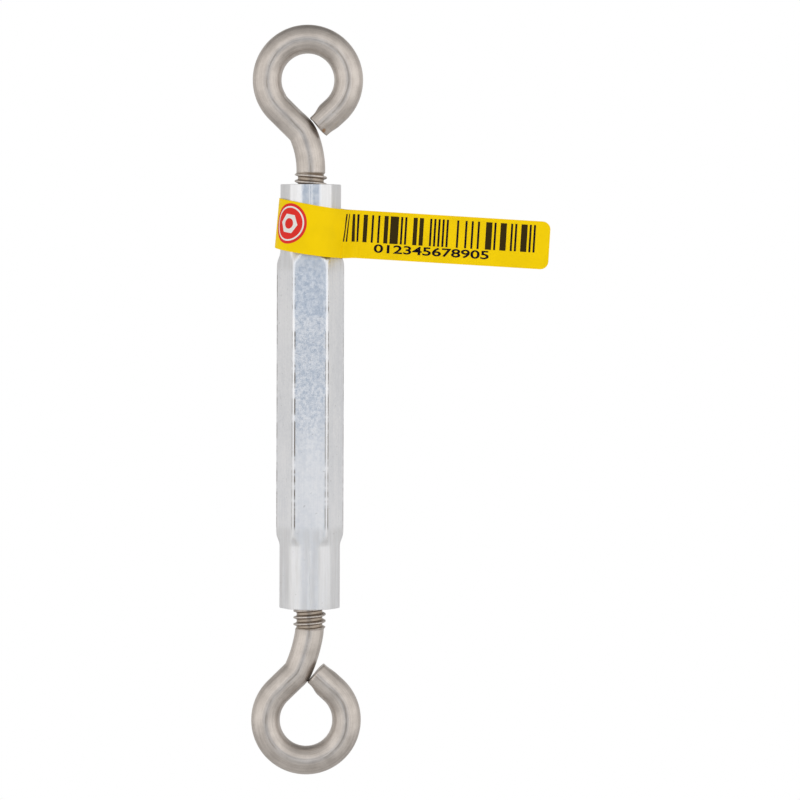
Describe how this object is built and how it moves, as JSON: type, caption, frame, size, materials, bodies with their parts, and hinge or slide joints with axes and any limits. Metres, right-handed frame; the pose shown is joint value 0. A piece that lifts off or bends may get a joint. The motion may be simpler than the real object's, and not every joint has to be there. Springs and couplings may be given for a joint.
{
  "type": "rigging turnbuckle",
  "caption": "Eye-and-eye turnbuckle: hexagonal barrel with a left-hand and a right-hand threaded neck, a bent-wire eye bolt in each, and a folded flag label round one neck.",
  "frame": {"origin": "on the thread axis, level with the middle of the upper eye", "axes": "+Z along the thread axis towards the upper, left-hand eye; the eyes lie in the XZ plane, the label's flag points along +X, and a hexagon face looks along -Y"},
  "size_m": [0.0558, 0.013, 0.141],
  "materials": {
    "eye_steel": "satin, tumbled, faint drawing lines along the wire",
    "barrel_aluminium": "drawn, satin, bright along the long corners",
    "label_paper": "printed, semi-gloss"
  },
  "bodies": {
    "upper_eye_bolt": {"upper_eye_bolt": "eye_steel"},
    "carrier": {"carrier_ring": "barrel_aluminium"},
    "barrel": {"barrel": "barrel_aluminium", "label": "label_paper"},
    "lower_eye_bolt": {"lower_eye_bolt": "eye_steel"}
  },
  "joints": [
    {"name": "barrel_travel", "type": "slide", "parent": "upper_eye_bolt", "child": "carrier", "axis": [0, 0, -1], "range_m": [-0.00191, 0.02413]},
    {"name": "barrel_turn", "type": "hinge", "parent": "carrier", "child": "barrel", "pos_m": [0, 0, 0], "axis": [0, 0, 1], "range_deg": [-540, 6840]},
    {"name": "lower_eye_travel", "type": "slide", "parent": "carrier", "child": "lower_eye_bolt", "axis": [0, 0, -1], "range_m": [-0.00191, 0.02413]}
  ],
  "couplings": [
    {"joint": "barrel_turn", "follows": "barrel_travel", "rad_per_m": 4947.4},
    {"joint": "lower_eye_travel", "follows": "barrel_travel", "ratio": 1}
  ]
}
